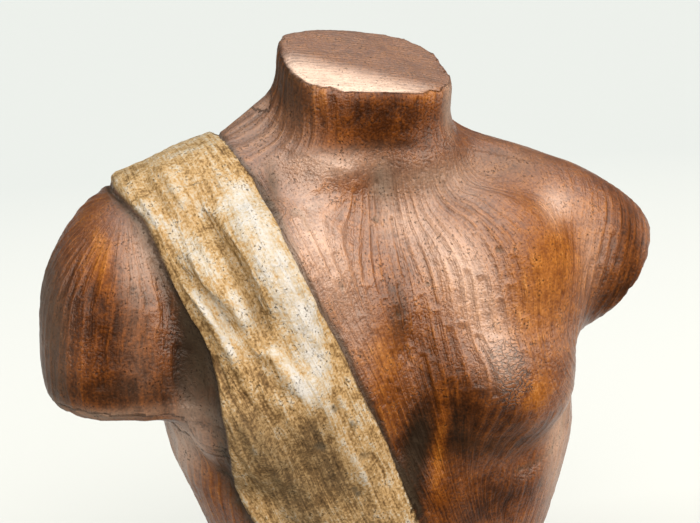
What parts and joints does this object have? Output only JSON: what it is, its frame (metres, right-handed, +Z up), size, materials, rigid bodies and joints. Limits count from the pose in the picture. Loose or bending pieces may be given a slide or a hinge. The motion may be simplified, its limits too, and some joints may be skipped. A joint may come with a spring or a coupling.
{
  "type": "terracotta torso",
  "caption": "Headless armless fired-clay torso with comb-marked glazed skin and a slanting sash over one shoulder, on a low round-cornered plinth.",
  "frame": {"origin": "middle of the plinth's underside", "axes": "+Z up through the figure, -Y the way the chest faces, +X to the figure's left, so that the sash lies over the -X shoulder"},
  "size_m": [0.3218, 0.1548, 0.3794],
  "materials": {
    "torso": "gloss brown glaze over combed clay, with an ochre and cream sash",
    "plinth": "satin dark brown glaze over combed clay"
  },
  "bodies": {
    "root": {"torso": "torso", "plinth": "plinth"}
  },
  "joints": []
}
